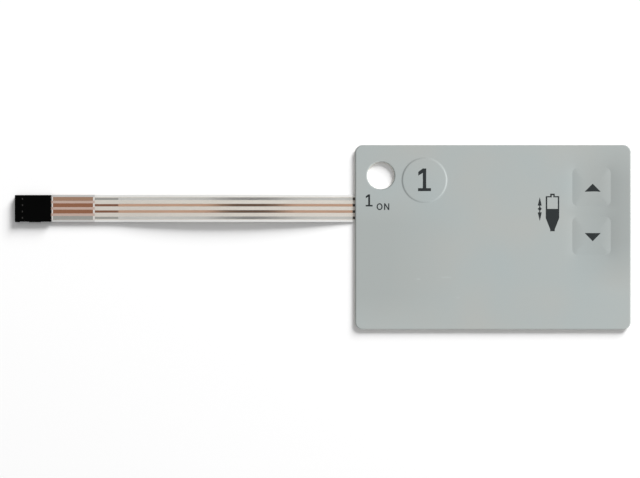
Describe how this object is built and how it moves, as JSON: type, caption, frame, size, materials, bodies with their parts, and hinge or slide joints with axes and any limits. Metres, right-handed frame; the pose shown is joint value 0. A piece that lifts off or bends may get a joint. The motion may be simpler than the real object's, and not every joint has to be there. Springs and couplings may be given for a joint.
{
  "type": "membrane keypad",
  "caption": "Flat laminated keypad with embossed round and square keys, a round port hole and a flat flexible tail that ends in a socket connector.",
  "frame": {"origin": "centre of the panel's outline, on the rear face of its release liner", "axes": "+X along the panel's width, away from the tail; +Y up the panel's face; +Z out of the face, towards the user"},
  "size_m": [0.2471, 0.074, 0.003],
  "materials": {
    "overlay": "fine matt texture",
    "adhesive": "clear amber",
    "spacer": "satin",
    "dome_steel": "spring steel",
    "film": "clear film",
    "coverlay": "clear film",
    "stiffener": "satin",
    "copper": "dull copper",
    "tin": "tinned",
    "housing": "moulded black",
    "liner": "siliconed paper"
  },
  "bodies": {
    "root": {"graphic_overlay": "overlay", "overlay_adhesive": "adhesive", "dome_spacer": "spacer", "dome_round": "dome_steel", "dome_up": "dome_steel", "dome_down": "dome_steel", "circuit_film": "film", "conductor_round": "tin", "conductor_common": "copper", "conductor_up": "copper", "conductor_down": "tin", "tail_film": "film", "tail_coverlay": "coverlay", "tail_stiffener": "stiffener", "connector_housing": "housing", "contact_1": "tin", "contact_2": "tin", "contact_3": "tin", "contact_4": "tin", "rear_adhesive": "adhesive", "release_liner": "liner"}
  },
  "joints": []
}
